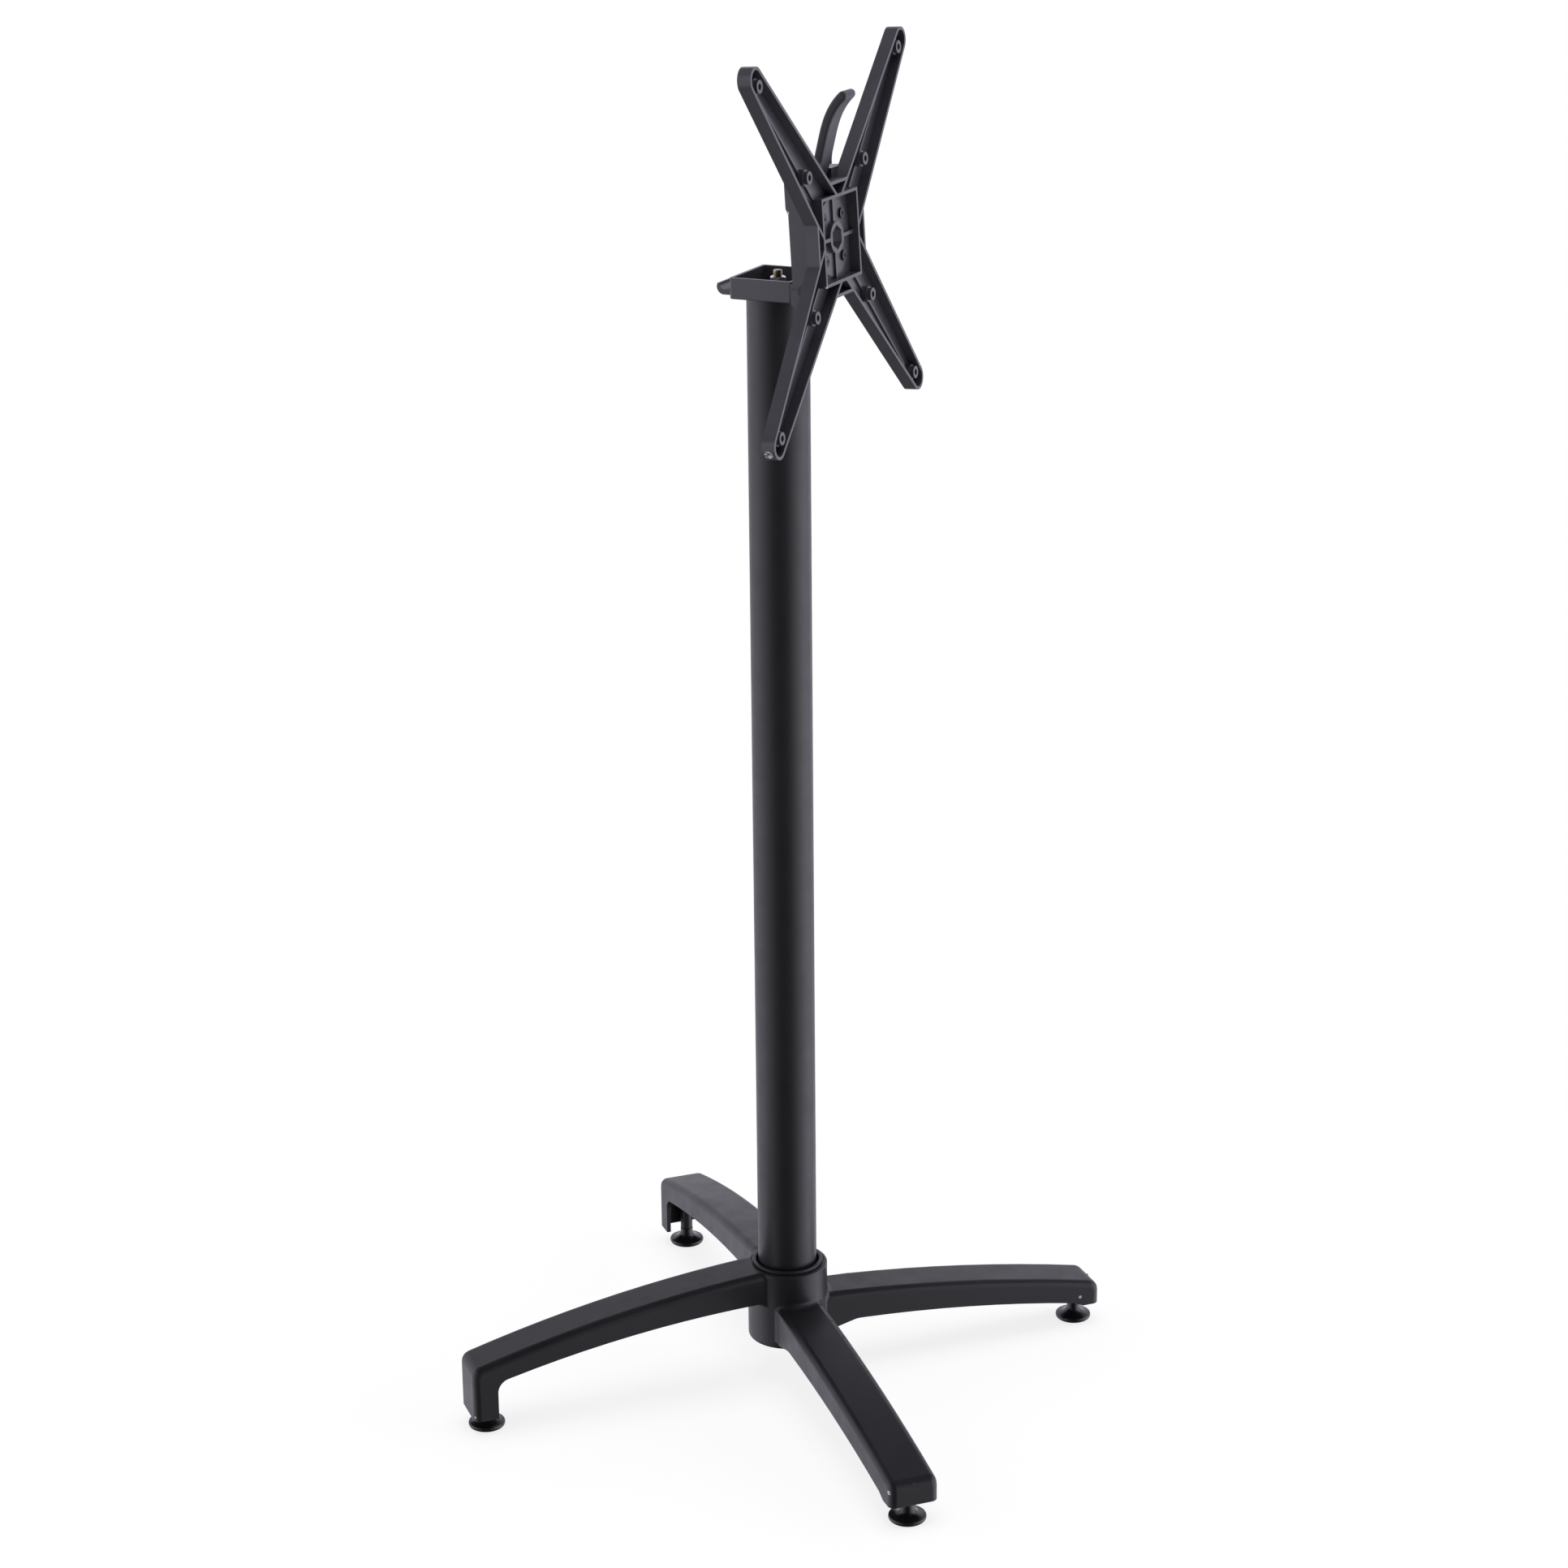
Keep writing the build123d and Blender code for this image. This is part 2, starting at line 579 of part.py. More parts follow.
def make_lever_handle():
    """Curved grip, pivot barrel and latch toe in one casting, drawn released."""
    with BuildPart() as bar:
        with BuildSketch(HEAD_SIDE):
            with BuildLine() as spine:
                Spline(*GRIP_SPINE)
            trace(lines=spine.line, line_width=GRIP_T)
            with Locations(GRIP_SPINE[-1]):
                Circle(GRIP_T / 2)
        extrude(amount=GRIP_HALF, both=True)
        side_edges = bar.edges().filter_by(lambda e: abs(abs(e.center().Y) - GRIP_HALF) < 0.1)
        fillet(side_edges.filter_by(lambda e: e.length > 20), radius=GRIP_EDGE_R)
    with BuildPart() as lever_handle:
        # root of the grip, flared out where it has left the slot
        with BuildSketch(HEAD_SIDE):
            with BuildLine() as root_spine:
                Spline(*GRIP_SPINE)
            trace(lines=root_spine.line, line_width=GRIP_T)
        extrude(amount=GRIP_FLARE, both=True)
        with BuildSketch(HEAD):
            with BuildLine():
                Line((GRIP_OUTSIDE, GRIP_FLARE), (GRIP_OUTSIDE, -GRIP_FLARE))
                ThreePointArc((GRIP_OUTSIDE, -GRIP_FLARE), (-64.5, -11.2), (-73.0, -9.0))
                Line((-73.0, -9.0), (-73.0, 9.0))
                ThreePointArc((-73.0, 9.0), (-64.5, 11.2), (GRIP_OUTSIDE, GRIP_FLARE))
            make_face()
        extrude(amount=60.0, both=True, mode=Mode.INTERSECT)
        add(bar.part)
        # latch arm and toe, swung out with the handle
        with BuildSketch(HEAD_SIDE):
            with Locations((PIVOT_X, PIVOT_H)):
                Circle(PIVOT_R)
            with Locations(Location((PIVOT_X, PIVOT_H), -LATCH_SWING)):
                Polygon(*CLAW, align=None)
        extrude(amount=LEVER_HALF, both=True)
        with BuildSketch(HEAD_SIDE):
            with Locations((PIVOT_X, PIVOT_H)):
                Circle(LEVER_BORE_R)
        extrude(amount=LEVER_HALF, both=True, mode=Mode.SUBTRACT)
    return lever_handle


def make_spider_cross():
    """Four-armed cross for the top: ribbed tray section open on the side of the top."""
    with BuildPart() as spider_cross:
        with BuildSketch(HEAD.offset(SPIDER_LOW)):
            with PolarLocations(0, 4, start_angle=45):
                Polygon(
                    (0, -ARM_HALF_IN),
                    (ARM_END, -ARM_HALF_OUT),
                    (ARM_END, ARM_HALF_OUT),
                    (0, ARM_HALF_IN),
                    align=None,
                )
            with PolarLocations(ARM_END, 4, start_angle=45):
                Circle(ARM_HALF_OUT)
            Rectangle(2 * CORE_HALF, 2 * CORE_HALF)
        extrude(amount=SPIDER_RIM - SPIDER_LOW)
        # open it up to the floor
        with BuildSketch(HEAD.offset(SPIDER_LOW + SPIDER_FLOOR)):
            with PolarLocations(0, 4, start_angle=45):
                Polygon(
                    (0, -ARM_HALF_IN + SPIDER_WALL),
                    (ARM_END, -ARM_HALF_OUT + SPIDER_WALL),
                    (ARM_END, ARM_HALF_OUT - SPIDER_WALL),
                    (0, ARM_HALF_IN - SPIDER_WALL),
                    align=None,
                )
            with PolarLocations(ARM_END, 4, start_angle=45):
                Circle(ARM_HALF_OUT - SPIDER_WALL)
            Rectangle(2 * (CORE_HALF - SPIDER_WALL), 2 * (CORE_HALF - SPIDER_WALL))
        extrude(amount=SPIDER_RIM - SPIDER_LOW, mode=Mode.SUBTRACT)
        # full height walls of the core: inner frame, and the arm walls carried in to it
        with BuildSketch(HEAD.offset(SPIDER_LOW)):
            Rectangle(2 * FRAME_HALF + SPIDER_WALL, 2 * FRAME_HALF + SPIDER_WALL)
            Rectangle(2 * FRAME_HALF - SPIDER_WALL, 2 * FRAME_HALF - SPIDER_WALL, mode=Mode.SUBTRACT)
            taper = (ARM_HALF_IN - ARM_HALF_OUT) / ARM_END
            with PolarLocations(0, 4, start_angle=45):
                for side in (-1, 1):
                    Polygon(
                        (WALL_FROM, side * (ARM_HALF_IN - taper * WALL_FROM)),
                        (WALL_TO, side * (ARM_HALF_IN - taper * WALL_TO)),
                        (WALL_TO, side * (ARM_HALF_IN - taper * WALL_TO - SPIDER_WALL)),
                        (WALL_FROM, side * (ARM_HALF_IN - taper * WALL_FROM - SPIDER_WALL)),
                        align=None,
                    )
        extrude(amount=SPIDER_RIM - SPIDER_LOW)
        # low ribs: along every arm, then the cross ribs of the centre
        with BuildSketch(HEAD.offset(SPIDER_LOW)):
            with PolarLocations(0, 4, start_angle=45):
                with Locations(((ARM_RIB_FROM + ARM_END + ARM_HALF_OUT - 1.0) / 2, 0)):
                    Rectangle(ARM_END + ARM_HALF_OUT - 1.0 - ARM_RIB_FROM, ARM_RIB_W)
        extrude(amount=SPIDER_FLOOR + ARM_RIB_H)
        with BuildSketch(HEAD.offset(SPIDER_LOW)):
            Rectangle(2 * FRAME_HALF, 3.2)
        extrude(amount=9.0 - SPIDER_LOW)
        with BuildSketch(HEAD.offset(SPIDER_LOW)):
            Rectangle(3.0, 2 * FRAME_HALF)
        extrude(amount=11.0 - SPIDER_LOW)
        # centre disc and the collar round the hexagon
        with BuildSketch(HEAD.offset(SPIDER_LOW)):
            Circle(DISC_R)
        extrude(amount=SPIDER_FLOOR + 1.0)
        with BuildSketch(HEAD.offset(SPIDER_LOW)):
            Circle(HEX_COLLAR_R)
        extrude(amount=11.0 - SPIDER_LOW)
        # screw bosses of the arms
        for xy in (BOSS_IN, BOSS_OUT):
            with BuildSketch(HEAD.offset(SPIDER_LOW)):
                with GridLocations(2 * xy, 2 * xy, 2, 2):
                    Circle(BOSS_COLLAR_R)
            extrude(amount=BOSS_COLLAR_TOP - SPIDER_LOW)
            with BuildSketch(HEAD.offset(SPIDER_LOW)):
                with GridLocations(2 * xy, 2 * xy, 2, 2):
                    Circle(BOSS_RING_R)
            extrude(amount=SPIDER_RIM - SPIDER_LOW)
        # bores
        with BuildSketch(HEAD.offset(SPIDER_LOW)):
            for xy in (BOSS_IN, BOSS_OUT):
                with GridLocations(2 * xy, 2 * xy, 2, 2):
                    Circle(BOSS_HOLE_R)
            with GridLocations(2 * SCREW_XY, 2 * SCREW_XY, 2, 2):
                Circle(SCREW_R)
            RegularPolygon(radius=HEX_FLATS / 2, side_count=6, major_radius=False)
        extrude(amount=SPIDER_RIM - SPIDER_LOW, mode=Mode.SUBTRACT)
    return spider_cross


def make_spider_screws():
    """Four pan-head screws that hold the cross on the head plate."""
    with BuildPart() as spider_screws:
        with BuildSketch(HEAD.offset(SCREW_SEAT)):
            with GridLocations(2 * SCREW_XY, 2 * SCREW_XY, 2, 2):
                Circle(SCREW_R)
        extrude(amount=SCREW_TIP - SCREW_SEAT)
        with BuildSketch(HEAD.offset(SCREW_SEAT)):
            with GridLocations(2 * SCREW_XY, 2 * SCREW_XY, 2, 2):
                Circle(SCREW_HEAD_R)
        extrude(amount=SCREW_HEAD_H)
        with BuildSketch(HEAD.offset(SCREW_SEAT + SCREW_HEAD_H)):
            with GridLocations(2 * SCREW_XY, 2 * SCREW_XY, 2, 2):
                Rectangle(4.6, 0.9)
                Rectangle(0.9, 4.6)
        extrude(amount=-0.9, mode=Mode.SUBTRACT)
    return spider_screws


base_casting = make_base_casting()
base_casting.part.label = "base_casting"
export_step(base_casting.part, "parts/base_casting.step")

column_tube = make_column_tube()
column_tube.part.label = "column_tube"
export_step(column_tube.part, "parts/column_tube.step")

tie_rod = make_tie_rod()
tie_rod.part.label = "tie_rod"
export_step(tie_rod.part, "parts/tie_rod.step")

rod_top_washer = make_washer(TOP_WASHER_Z, WASHER_R, WASHER_T)
rod_top_washer.part.label = "rod_top_washer"
export_step(rod_top_washer.part, "parts/rod_top_washer.step")

rod_top_nut = make_nut(TOP_WASHER_Z + WASHER_T)
rod_top_nut.part.label = "rod_top_nut"
export_step(rod_top_nut.part, "parts/rod_top_nut.step")

rod_bottom_washer = make_washer(HUB_WEB_LOW - PLATE_WASHER_T, PLATE_WASHER_R, PLATE_WASHER_T)
rod_bottom_washer.part.label = "rod_bottom_washer"
export_step(rod_bottom_washer.part, "parts/rod_bottom_washer.step")

rod_bottom_nut = make_nut(HUB_WEB_LOW - PLATE_WASHER_T - NUT_HEIGHT)
rod_bottom_nut.part.label = "rod_bottom_nut"
export_step(rod_bottom_nut.part, "parts/rod_bottom_nut.step")

tray_casting = make_tray_casting()
tray_casting.part.label = "tray_casting"
export_step(tray_casting.part, "parts/tray_casting.step")

hinge_pin = make_hinge_pin()
hinge_pin.part.label = "hinge_pin"
export_step(hinge_pin.part, "parts/hinge_pin.step")

tilt_head = make_tilt_head()
tilt_head.part.label = "tilt_head"
export_step(tilt_head.part, "parts/tilt_head.step")

lever_pin = make_lever_pin()
lever_pin.part.label = "lever_pin"
export_step(lever_pin.part, "parts/lever_pin.step")

lever_handle = make_lever_handle()
lever_handle.part.label = "lever_handle"
export_step(lever_handle.part, "parts/lever_handle.step")

spider_cross = make_spider_cross()
spider_cross.part.label = "spider_cross"
export_step(spider_cross.part, "parts/spider_cross.step")

spider_screws = make_spider_screws()
spider_screws.part.label = "spider_screws"
export_step(spider_screws.part, "parts/spider_screws.step")

for place, (foot_x, foot_y, leg_kind) in FEET.items():
    foot_pad = make_foot_pad(foot_x, foot_y, leg_kind)
    foot_pad.part.label = "foot_pad_" + place
    export_step(foot_pad.part, "parts/foot_pad_" + place + ".step")
    foot_stem = make_foot_stem(foot_x, foot_y)
    foot_stem.part.label = "foot_stem_" + place
    export_step(foot_stem.part, "parts/foot_stem_" + place + ".step")
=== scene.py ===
import math

import bpy
from mathutils import Matrix, Vector

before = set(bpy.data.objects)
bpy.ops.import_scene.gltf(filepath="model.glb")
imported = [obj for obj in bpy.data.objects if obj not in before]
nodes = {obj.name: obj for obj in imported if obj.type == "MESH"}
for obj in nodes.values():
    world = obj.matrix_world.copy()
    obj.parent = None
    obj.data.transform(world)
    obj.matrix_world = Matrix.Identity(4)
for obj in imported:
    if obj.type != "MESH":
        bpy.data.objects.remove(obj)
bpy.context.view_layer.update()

# Lengths are metres in the shared frame, angles are degrees until they are used.


# ---------------------------------------------------------------- node helpers
def new_material(name):
    """Empty node material with a Principled shader on its output."""
    material = bpy.data.materials.new(name)
    material.use_nodes = True
    tree = material.node_tree
    tree.nodes.clear()
    out = tree.nodes.new("ShaderNodeOutputMaterial")
    shader = tree.nodes.new("ShaderNodeBsdfPrincipled")
    tree.links.new(shader.outputs["BSDF"], out.inputs["Surface"])
    return material, tree, shader


def noise(tree, scale, detail=2.0, roughness=0.5):
    """Noise in the object's own metres: scale is features per metre."""
    coords = tree.nodes.new("ShaderNodeTexCoord")
    node = tree.nodes.new("ShaderNodeTexNoise")
    node.inputs["Scale"].default_value = scale
    node.inputs["Detail"].default_value = detail
    node.inputs["Roughness"].default_value = roughness
    tree.links.new(coords.outputs["Object"], node.inputs["Vector"])
    return node.outputs["Fac"]


def spread(tree, value, low, high, out_low=0.0, out_high=1.0):
    """The value's range low..high stretched to out_low..out_high and held there."""
    node = tree.nodes.new("ShaderNodeMapRange")
    node.inputs["From Min"].default_value = low
    node.inputs["From Max"].default_value = high
    node.inputs["To Min"].default_value = out_low
    node.inputs["To Max"].default_value = out_high
    tree.links.new(value, node.inputs["Value"])
    return node.outputs["Result"]


def multiply(tree, a, b):
    """Product of two masks, kept within 0..1."""
    node = tree.nodes.new("ShaderNodeMath")
    node.operation = "MULTIPLY"
    node.use_clamp = True
    tree.links.new(a, node.inputs[0])
    tree.links.new(b, node.inputs[1])
    return node.outputs["Value"]


def mix_colour(tree, factor, a, b):
    """Colour a at factor 0 and b at factor 1; each is a tuple or a socket."""
    node = tree.nodes.new("ShaderNodeMix")
    node.data_type = "RGBA"
    tree.links.new(factor, node.inputs["Factor"])
    for socket, colour in ((node.inputs[6], a), (node.inputs[7], b)):
        if isinstance(colour, tuple):
            socket.default_value = (*colour, 1.0)
        else:
            tree.links.new(colour, socket)
    return node.outputs[2]


def bump(tree, height, strength, distance, normal=None):
    """Normal bent by a height of the given depth, on top of another bump if given."""
    node = tree.nodes.new("ShaderNodeBump")
    node.inputs["Strength"].default_value = strength
    node.inputs["Distance"].default_value = distance
    tree.links.new(height, node.inputs["Height"])
    if normal is not None:
        tree.links.new(normal, node.inputs["Normal"])
    return node.outputs["Normal"]


# ---------------------------------------------------------------- masks
def edge_mask(tree, radius, start, full):
    """1 on convex and concave edges within the radius, 0 on open faces."""
    rounded = tree.nodes.new("ShaderNodeBevel")
    rounded.samples = 6
    rounded.inputs["Radius"].default_value = radius
    surface = tree.nodes.new("ShaderNodeNewGeometry")
    likeness = tree.nodes.new("ShaderNodeVectorMath")
    likeness.operation = "DOT_PRODUCT"
    tree.links.new(rounded.outputs["Normal"], likeness.inputs[0])
    tree.links.new(surface.outputs["Normal"], likeness.inputs[1])
    return spread(tree, likeness.outputs["Value"], start, full)


def spot(tree, centre, radius, ragged=0.35):
    """Ragged round patch of the given radius about a point of the object."""
    coords = tree.nodes.new("ShaderNodeTexCoord")
    reach = tree.nodes.new("ShaderNodeVectorMath")
    reach.operation = "DISTANCE"
    reach.inputs[1].default_value = centre
    tree.links.new(coords.outputs["Object"], reach.inputs[0])
    inside = spread(tree, reach.outputs["Value"], radius, radius * (1.0 - ragged))
    flakes = spread(tree, noise(tree, 1.6 / radius, 3.0, 0.6), 0.42, 0.5)
    return multiply(tree, inside, flakes)


# ---------------------------------------------------------------- kinds of finish
RUBBED_COAT = (0.10, 0.10, 0.105)
SCUFFED_NYLON = (0.06, 0.06, 0.06)
BARE_METAL = (0.62, 0.61, 0.60)


def powder_coat(name, base, lift, rough, sheen=0.5, rub=0.4, grit=0.30, node=None, chips=()):
    """Matte black powder coat: fine grain, uneven sheen, rubbed edges and a few chips."""
    material, tree, shader = new_material(name)
    shader.inputs["Specular IOR Level"].default_value = sheen
    cloud = noise(tree, 14.0, 4.0)
    colour = mix_colour(tree, spread(tree, cloud, 0.35, 0.65), base, lift)
    rubbed = multiply(
        tree,
        edge_mask(tree, 0.0007, 0.985, 0.93),
        spread(tree, noise(tree, 120.0, 4.0, 0.65), 0.42, 0.62, 0.0, rub),
    )
    colour = mix_colour(tree, rubbed, colour, RUBBED_COAT)
    for centre, radius in chips:
        local = node.matrix_world.inverted() @ Vector(centre)
        colour = mix_colour(tree, spot(tree, local, radius), colour, BARE_METAL)
    tree.links.new(colour, shader.inputs["Base Color"])
    patches = noise(tree, 45.0, 5.0, 0.6)
    uneven = spread(tree, patches, 0.3, 0.7, rough - 0.04, rough + 0.05)
    tree.links.new(uneven, shader.inputs["Roughness"])
    waves = bump(tree, noise(tree, 60.0, 2.0), grit * 0.2, 0.0004)
    grain = bump(tree, noise(tree, 900.0, 2.0), grit, 0.00004, waves)
    tree.links.new(grain, shader.inputs["Normal"])
    return material


def metal(name, base, lift, rough):
    """Plated steel: satin, slightly uneven, with fine turning marks."""
    material, tree, shader = new_material(name)
    cloud = noise(tree, 160.0, 4.0)
    colour = mix_colour(tree, spread(tree, cloud, 0.35, 0.65), base, lift)
    worn = multiply(
        tree,
        edge_mask(tree, 0.0003, 0.98, 0.9),
        spread(tree, noise(tree, 600.0, 3.0), 0.45, 0.6, 0.0, 0.6),
    )
    tree.links.new(mix_colour(tree, worn, colour, lift), shader.inputs["Base Color"])
    shader.inputs["Metallic"].default_value = 1.0
    uneven = spread(tree, noise(tree, 700.0, 3.0), 0.3, 0.7, rough - 0.06, rough + 0.1)
    tree.links.new(uneven, shader.inputs["Roughness"])
    marks = bump(tree, noise(tree, 2500.0, 2.0), 0.3, 0.00003)
    tree.links.new(marks, shader.inputs["Normal"])
    return material


def moulded(name, base, lift, rough):
    """Gloss moulded nylon, scuffed along its edges."""
    material, tree, shader = new_material(name)
    cloud = noise(tree, 70.0, 4.0)
    colour = mix_colour(tree, spread(tree, cloud, 0.4, 0.7), base, lift)
    scuffed = multiply(
        tree,
        edge_mask(tree, 0.0006, 0.985, 0.92),
        spread(tree, noise(tree, 300.0, 4.0, 0.65), 0.45, 0.6, 0.0, 0.5),
    )
    tree.links.new(mix_colour(tree, scuffed, colour, SCUFFED_NYLON), shader.inputs["Base Color"])
    uneven = spread(tree, noise(tree, 260.0, 4.0), 0.35, 0.7, rough - 0.04, rough + 0.12)
    tree.links.new(uneven, shader.inputs["Roughness"])
    ripple = bump(tree, noise(tree, 500.0, 2.0), 0.12, 0.00005)
    tree.links.new(ripple, shader.inputs["Normal"])
    return material


# ---------------------------------------------------------------- finishes of the part
# where the coat is chipped: place in the shared frame and radius
BASE_CHIPS = [
    ((0.2036, -0.2358, 0.036), 0.0024),
    ((0.2250, 0.1924, 0.0318), 0.0018),
    ((-0.2085, -0.2375, 0.020), 0.0018),
]
HEAD_CHIPS = [
    ((0.0633, -0.1592, 0.9316), 0.0042),
    ((0.0628, -0.0375, 1.0493), 0.0022),
    ((0.0633, 0.0230, 1.0390), 0.0018),
    ((0.0266, -0.0380, 1.1108), 0.0022),
]

base_coat = powder_coat(
    "base_powder_coat",
    base=(0.0080, 0.0078, 0.0096),
    lift=(0.0105, 0.0102, 0.0122),
    rough=0.40,
    node=nodes["base_casting"],
    chips=BASE_CHIPS,
)
# Painted light: the lever, tray and head coats are the base's black powder coat given a lighter base
# colour, so these parts read as more brightly lit. Their sheen and roughness settings are real gloss.
lever_coat_painted_lighter = powder_coat(
    "lever_powder_coat_painted_lighter",
    base=(0.028, 0.027, 0.034),
    lift=(0.036, 0.035, 0.043),
    rough=0.36,
    sheen=0.3,
    grit=0.12,
)
tray_coat_painted_lighter = powder_coat(
    "tray_powder_coat_painted_lighter",
    base=(0.040, 0.039, 0.048),
    lift=(0.048, 0.046, 0.057),
    rough=0.34,
    sheen=0.8,
    grit=0.12,
)
head_coat_painted_lighter = powder_coat(
    "head_powder_coat_painted_lighter",
    base=(0.034, 0.033, 0.041),
    lift=(0.041, 0.040, 0.049),
    rough=0.33,
    sheen=0.8,
    rub=0.25,
    grit=0.05,
    node=nodes["spider_cross"],
    chips=HEAD_CHIPS,
)
tube_coat = powder_coat(
    "steel_powder_coat",
    base=(0.0085, 0.0085, 0.0100),
    lift=(0.0100, 0.0099, 0.0115),
    rough=0.40,
)
bronze_zinc = metal("yellow_zinc_steel", (0.30, 0.23, 0.16), (0.62, 0.53, 0.40), 0.34)
bright_zinc = metal("bright_zinc_steel", (0.82, 0.82, 0.80), (0.92, 0.92, 0.90), 0.30)
zinc = metal("zinc_steel", (0.50, 0.50, 0.48), (0.62, 0.62, 0.60), 0.36)
black_steel = metal("black_pin_steel", (0.05, 0.05, 0.055), (0.08, 0.08, 0.085), 0.38)
black_nylon = moulded("foot_plastic", (0.008, 0.008, 0.009), (0.012, 0.012, 0.013), 0.18)

FINISH = {
    "base_casting": base_coat,
    "column_tube": tube_coat,
    "tie_rod": bronze_zinc,
    "rod_top_nut": bright_zinc,
    "rod_bottom_nut": bright_zinc,
    "rod_top_washer": zinc,
    "rod_bottom_washer": zinc,
    "tray_casting": tray_coat_painted_lighter,
    "tilt_head": head_coat_painted_lighter,
    "spider_cross": head_coat_painted_lighter,
    "lever_handle": lever_coat_painted_lighter,
    "hinge_pin": black_steel,
    "lever_pin": black_steel,
    "spider_screws": black_steel,
}
for place in ("front_left", "back_left", "front_right", "back_right"):
    FINISH["foot_pad_" + place] = black_nylon
    FINISH["foot_stem_" + place] = zinc

for name, node in nodes.items():
    node.data.materials.clear()
    node.data.materials.append(FINISH[name])

# even shading across the long cast fillets
smoother = nodes["base_casting"].modifiers.new("even_shading", "WEIGHTED_NORMAL")
smoother.keep_sharp = True

# ---------------------------------------------------------------- camera directions
CAMERA_AT = Vector((1.2668, -2.7482, 1.6005))
CAMERA_TARGET = Vector((0.001, 0.0005, 0.5884))
CAMERA_ROLL = math.radians(-0.55)
CAMERA_LENS_MM = 81.2
CAMERA_SENSOR_MM = 36.0

forward = (CAMERA_TARGET - CAMERA_AT).normalized()
right = forward.cross(Vector((0, 0, 1))).normalized()
up = right.cross(forward)
flat_right = Vector((right.x, right.y, 0)).normalized()
flat_back = Vector((forward.x, forward.y, 0)).normalized()

# ---------------------------------------------------------------- floor
FLOOR_HALF = 60.0
FLOOR_Z = -0.0005
FLOOR_PAINT = 0.25
FLOOR_GLOW = 0.80
FLOOR_FADE = (0.40, 0.90)


def make_floor():
    """Pale floor: lit paint round the base that fades to plain white, unseen in reflections."""
    mesh = bpy.data.meshes.new("floor")
    corners = [(-1, -1), (1, -1), (1, 1), (-1, 1)]
    mesh.from_pydata([(FLOOR_HALF * x, FLOOR_HALF * y, FLOOR_Z) for x, y in corners], [], [(0, 1, 2, 3)])
    floor = bpy.data.objects.new("floor", mesh)
    bpy.context.scene.collection.objects.link(floor)
    paint, tree, shader = new_material("floor_paint")
    shader.inputs["Base Color"].default_value = (FLOOR_PAINT, FLOOR_PAINT, FLOOR_PAINT, 1.0)
    shader.inputs["Emission Color"].default_value = (1, 1, 1, 1)
    shader.inputs["Emission Strength"].default_value = FLOOR_GLOW
    shader.inputs["Roughness"].default_value = 0.9
    shader.inputs["Specular IOR Level"].default_value = 0.0
    coords = tree.nodes.new("ShaderNodeTexCoord")
    reach = tree.nodes.new("ShaderNodeVectorMath")
    reach.operation = "LENGTH"
    tree.links.new(coords.outputs["Object"], reach.inputs[0])
    white = tree.nodes.new("ShaderNodeEmission")
    white.inputs["Color"].default_value = (1, 1, 1, 1)
    white.inputs["Strength"].default_value = 1.0
    fade = tree.nodes.new("ShaderNodeMixShader")
    tree.links.new(spread(tree, reach.outputs["Value"], *FLOOR_FADE), fade.inputs["Fac"])
    tree.links.new(shader.outputs["BSDF"], fade.inputs[1])
    tree.links.new(white.outputs["Emission"], fade.inputs[2])
    path = tree.nodes.new("ShaderNodeLightPath")
    clear = tree.nodes.new("ShaderNodeBsdfTransparent")
    pick = tree.nodes.new("ShaderNodeMixShader")
    tree.links.new(path.outputs["Is Glossy Ray"], pick.inputs["Fac"])
    tree.links.new(fade.outputs["Shader"], pick.inputs[1])
    tree.links.new(clear.outputs["BSDF"], pick.inputs[2])
    out = next(node for node in tree.nodes if node.type == "OUTPUT_MATERIAL")
    tree.links.new(pick.outputs["Shader"], out.inputs["Surface"])
    mesh.materials.append(paint)
    return floor


floor = make_floor()

# ---------------------------------------------------------------- light
LAMP_SIZE = 2.6
LAMP_HEIGHT = 3.2
LAMP_WATTS = 60.0
# Studio walls: dark behind the camera, bright strips to both sides, paler at the back.
# Each entry is (degrees round from the camera, positive to its right; brightness).
WALL_LIGHT = [
    (-180, 0.9),
    (-128, 0.95),
    (-92, 1.6),
    (-60, 0.95),
    (-36, 0.33),
    (-24, 0.05),
    (24, 0.05),
    (36, 0.42),
    (60, 1.45),
    (92, 2.4),
    (128, 1.0),
    (180, 0.9),
]
WALL_MAX = 2.5
WALL_TINT = (0.95, 0.93, 1.05)
# the walls dim between these sines of the angle above or below the horizon
DIM_FROM = 0.48
DIM_TO = 0.72
DIM_LEFT = 0.08


def make_lamp():
    """Wide lamp overhead that lights the floor and leaves a soft shadow under the base."""
    lamp = bpy.data.lights.new("softbox_top", "AREA")
    lamp.shape = "RECTANGLE"
    lamp.size = LAMP_SIZE
    lamp.size_y = LAMP_SIZE
    lamp.energy = LAMP_WATTS
    lamp_object = bpy.data.objects.new("softbox_top", lamp)
    lamp_object.location = (0, 0, LAMP_HEIGHT)
    lamp_object.visible_glossy = False
    bpy.context.scene.collection.objects.link(lamp_object)


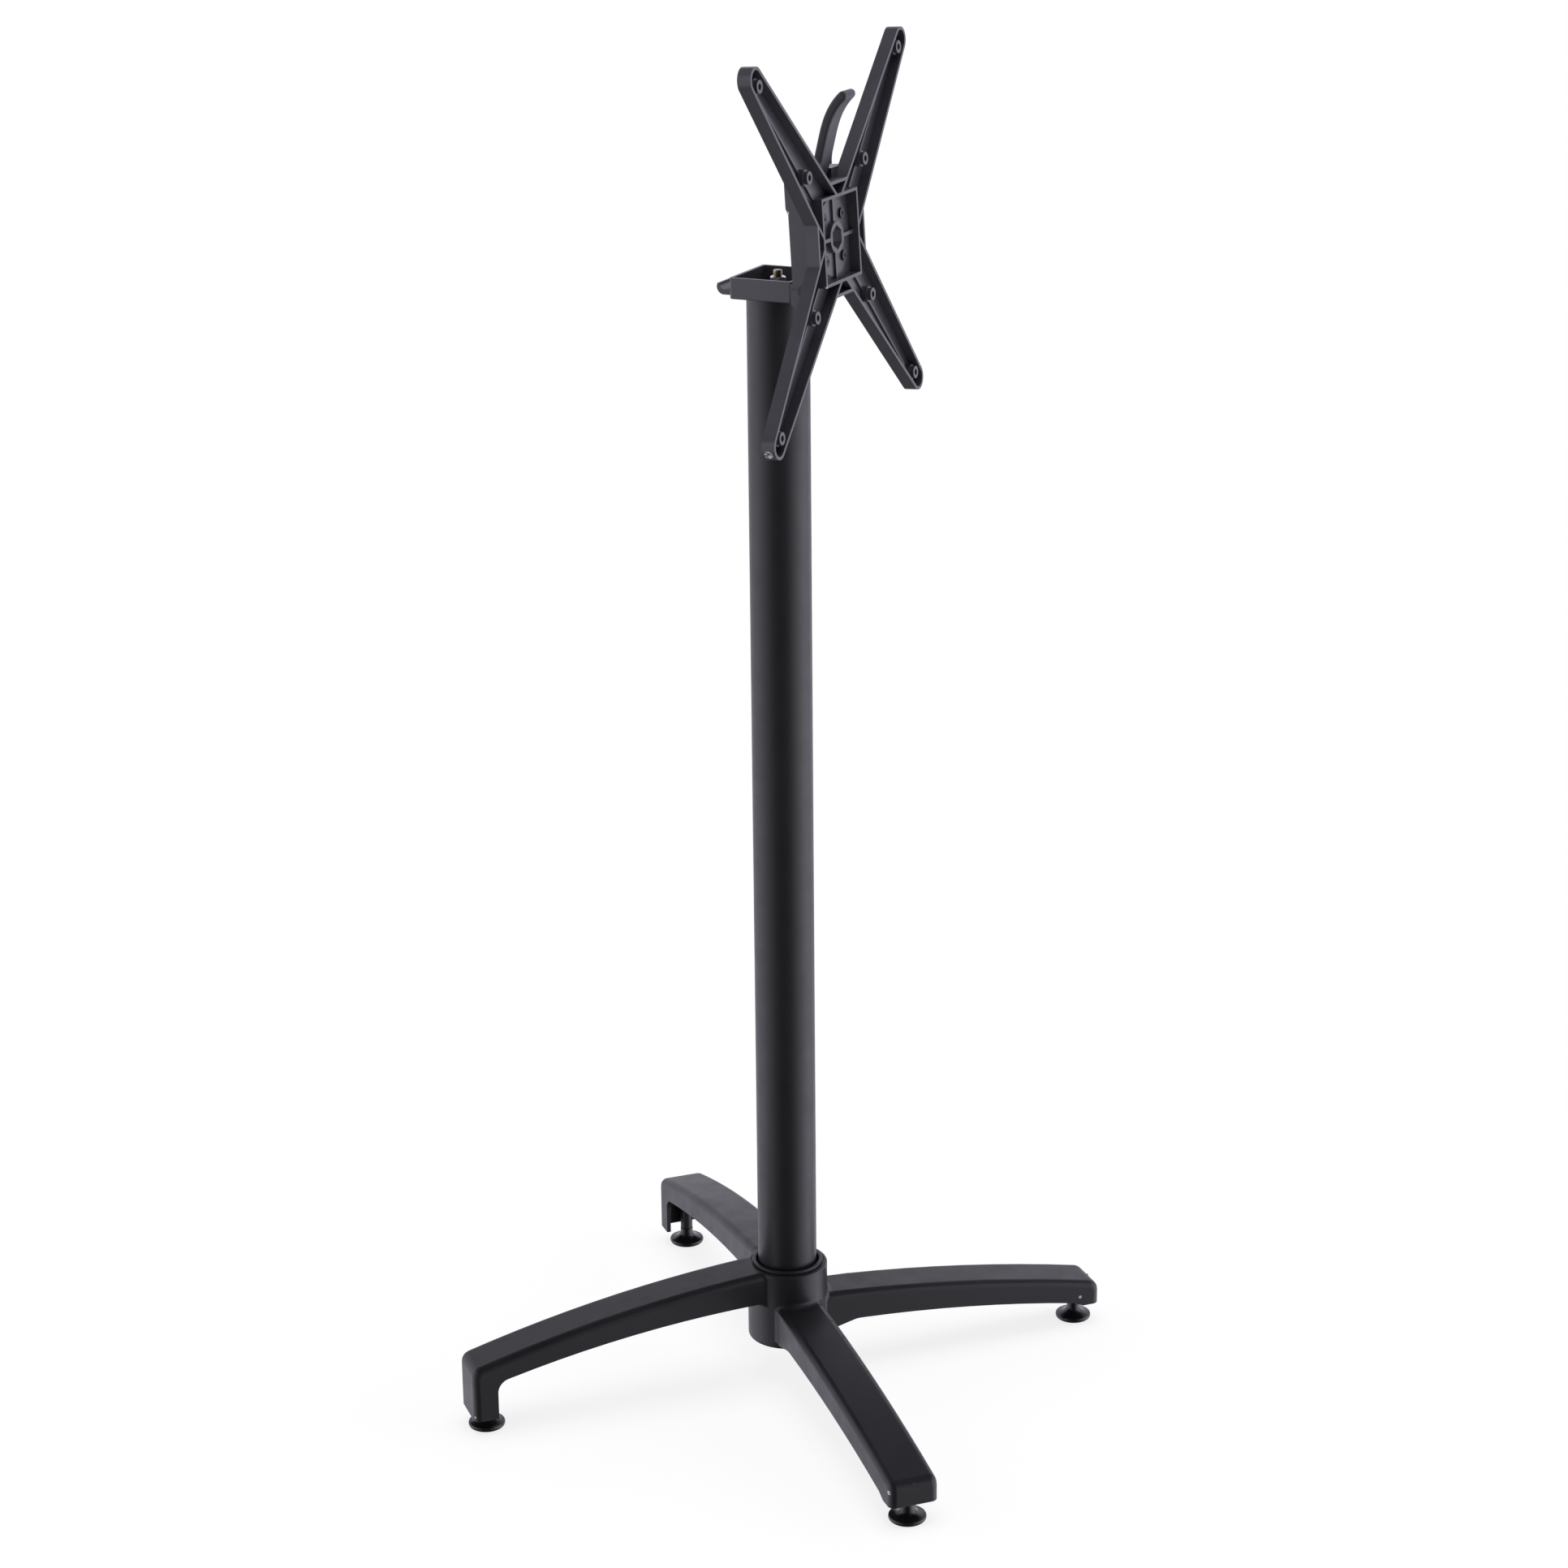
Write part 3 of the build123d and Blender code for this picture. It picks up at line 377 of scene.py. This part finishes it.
def make_studio():
    """World that shows plain white and lights the part with the studio walls."""
    world = bpy.data.worlds.new("studio")
    bpy.context.scene.world = world
    world.use_nodes = True
    tree = world.node_tree
    tree.nodes.clear()
    out = tree.nodes.new("ShaderNodeOutputWorld")
    shown = tree.nodes.new("ShaderNodeBackground")
    shown.inputs["Color"].default_value = (1, 1, 1, 1)
    shown.inputs["Strength"].default_value = 1.0
    lit = tree.nodes.new("ShaderNodeBackground")
    coords = tree.nodes.new("ShaderNodeTexCoord")

    def along(direction):
        node = tree.nodes.new("ShaderNodeVectorMath")
        node.operation = "DOT_PRODUCT"
        node.inputs[1].default_value = direction
        tree.links.new(coords.outputs["Generated"], node.inputs[0])
        return node.outputs["Value"]

    turn = tree.nodes.new("ShaderNodeMath")
    turn.operation = "ARCTAN2"
    tree.links.new(along(flat_right), turn.inputs[0])
    tree.links.new(along(-flat_back), turn.inputs[1])
    walls = tree.nodes.new("ShaderNodeValToRGB")
    for _ in range(len(WALL_LIGHT) - 2):
        walls.color_ramp.elements.new(0.5)
    for element, (degrees, light) in zip(walls.color_ramp.elements, WALL_LIGHT):
        element.position = (degrees + 180) / 360
        level = light / WALL_MAX
        element.color = (*(tint * level for tint in WALL_TINT), 1)
    tree.links.new(spread(tree, turn.outputs["Value"], -math.pi, math.pi), walls.inputs["Fac"])
    height = tree.nodes.new("ShaderNodeMath")
    height.operation = "ABSOLUTE"
    tree.links.new(along(Vector((0, 0, 1))), height.inputs[0])
    dimming = spread(tree, height.outputs["Value"], DIM_FROM, DIM_TO, WALL_MAX, WALL_MAX * DIM_LEFT)
    tree.links.new(walls.outputs["Color"], lit.inputs["Color"])
    tree.links.new(dimming, lit.inputs["Strength"])
    path = tree.nodes.new("ShaderNodeLightPath")
    pick = tree.nodes.new("ShaderNodeMixShader")
    tree.links.new(path.outputs["Is Camera Ray"], pick.inputs["Fac"])
    tree.links.new(lit.outputs["Background"], pick.inputs[1])
    tree.links.new(shown.outputs["Background"], pick.inputs[2])
    tree.links.new(pick.outputs["Shader"], out.inputs["Surface"])


make_lamp()
make_studio()
bpy.context.scene.view_settings.view_transform = "Standard"


# ---------------------------------------------------------------- camera
def make_camera():
    """Long-lens camera aimed at the middle of the part, rolled a little."""
    data = bpy.data.cameras.new("camera")
    data.sensor_fit = "HORIZONTAL"
    data.sensor_width = CAMERA_SENSOR_MM
    data.lens = CAMERA_LENS_MM
    data.clip_start = 0.05
    data.clip_end = 60.0
    camera = bpy.data.objects.new("camera", data)
    bpy.context.scene.collection.objects.link(camera)
    rolled_right = right * math.cos(CAMERA_ROLL) + up * math.sin(CAMERA_ROLL)
    rolled_up = rolled_right.cross(forward)
    axes = Matrix((rolled_right, rolled_up, -forward)).transposed().to_4x4()
    camera.matrix_world = Matrix.Translation(CAMERA_AT) @ axes
    bpy.context.scene.camera = camera


make_camera()
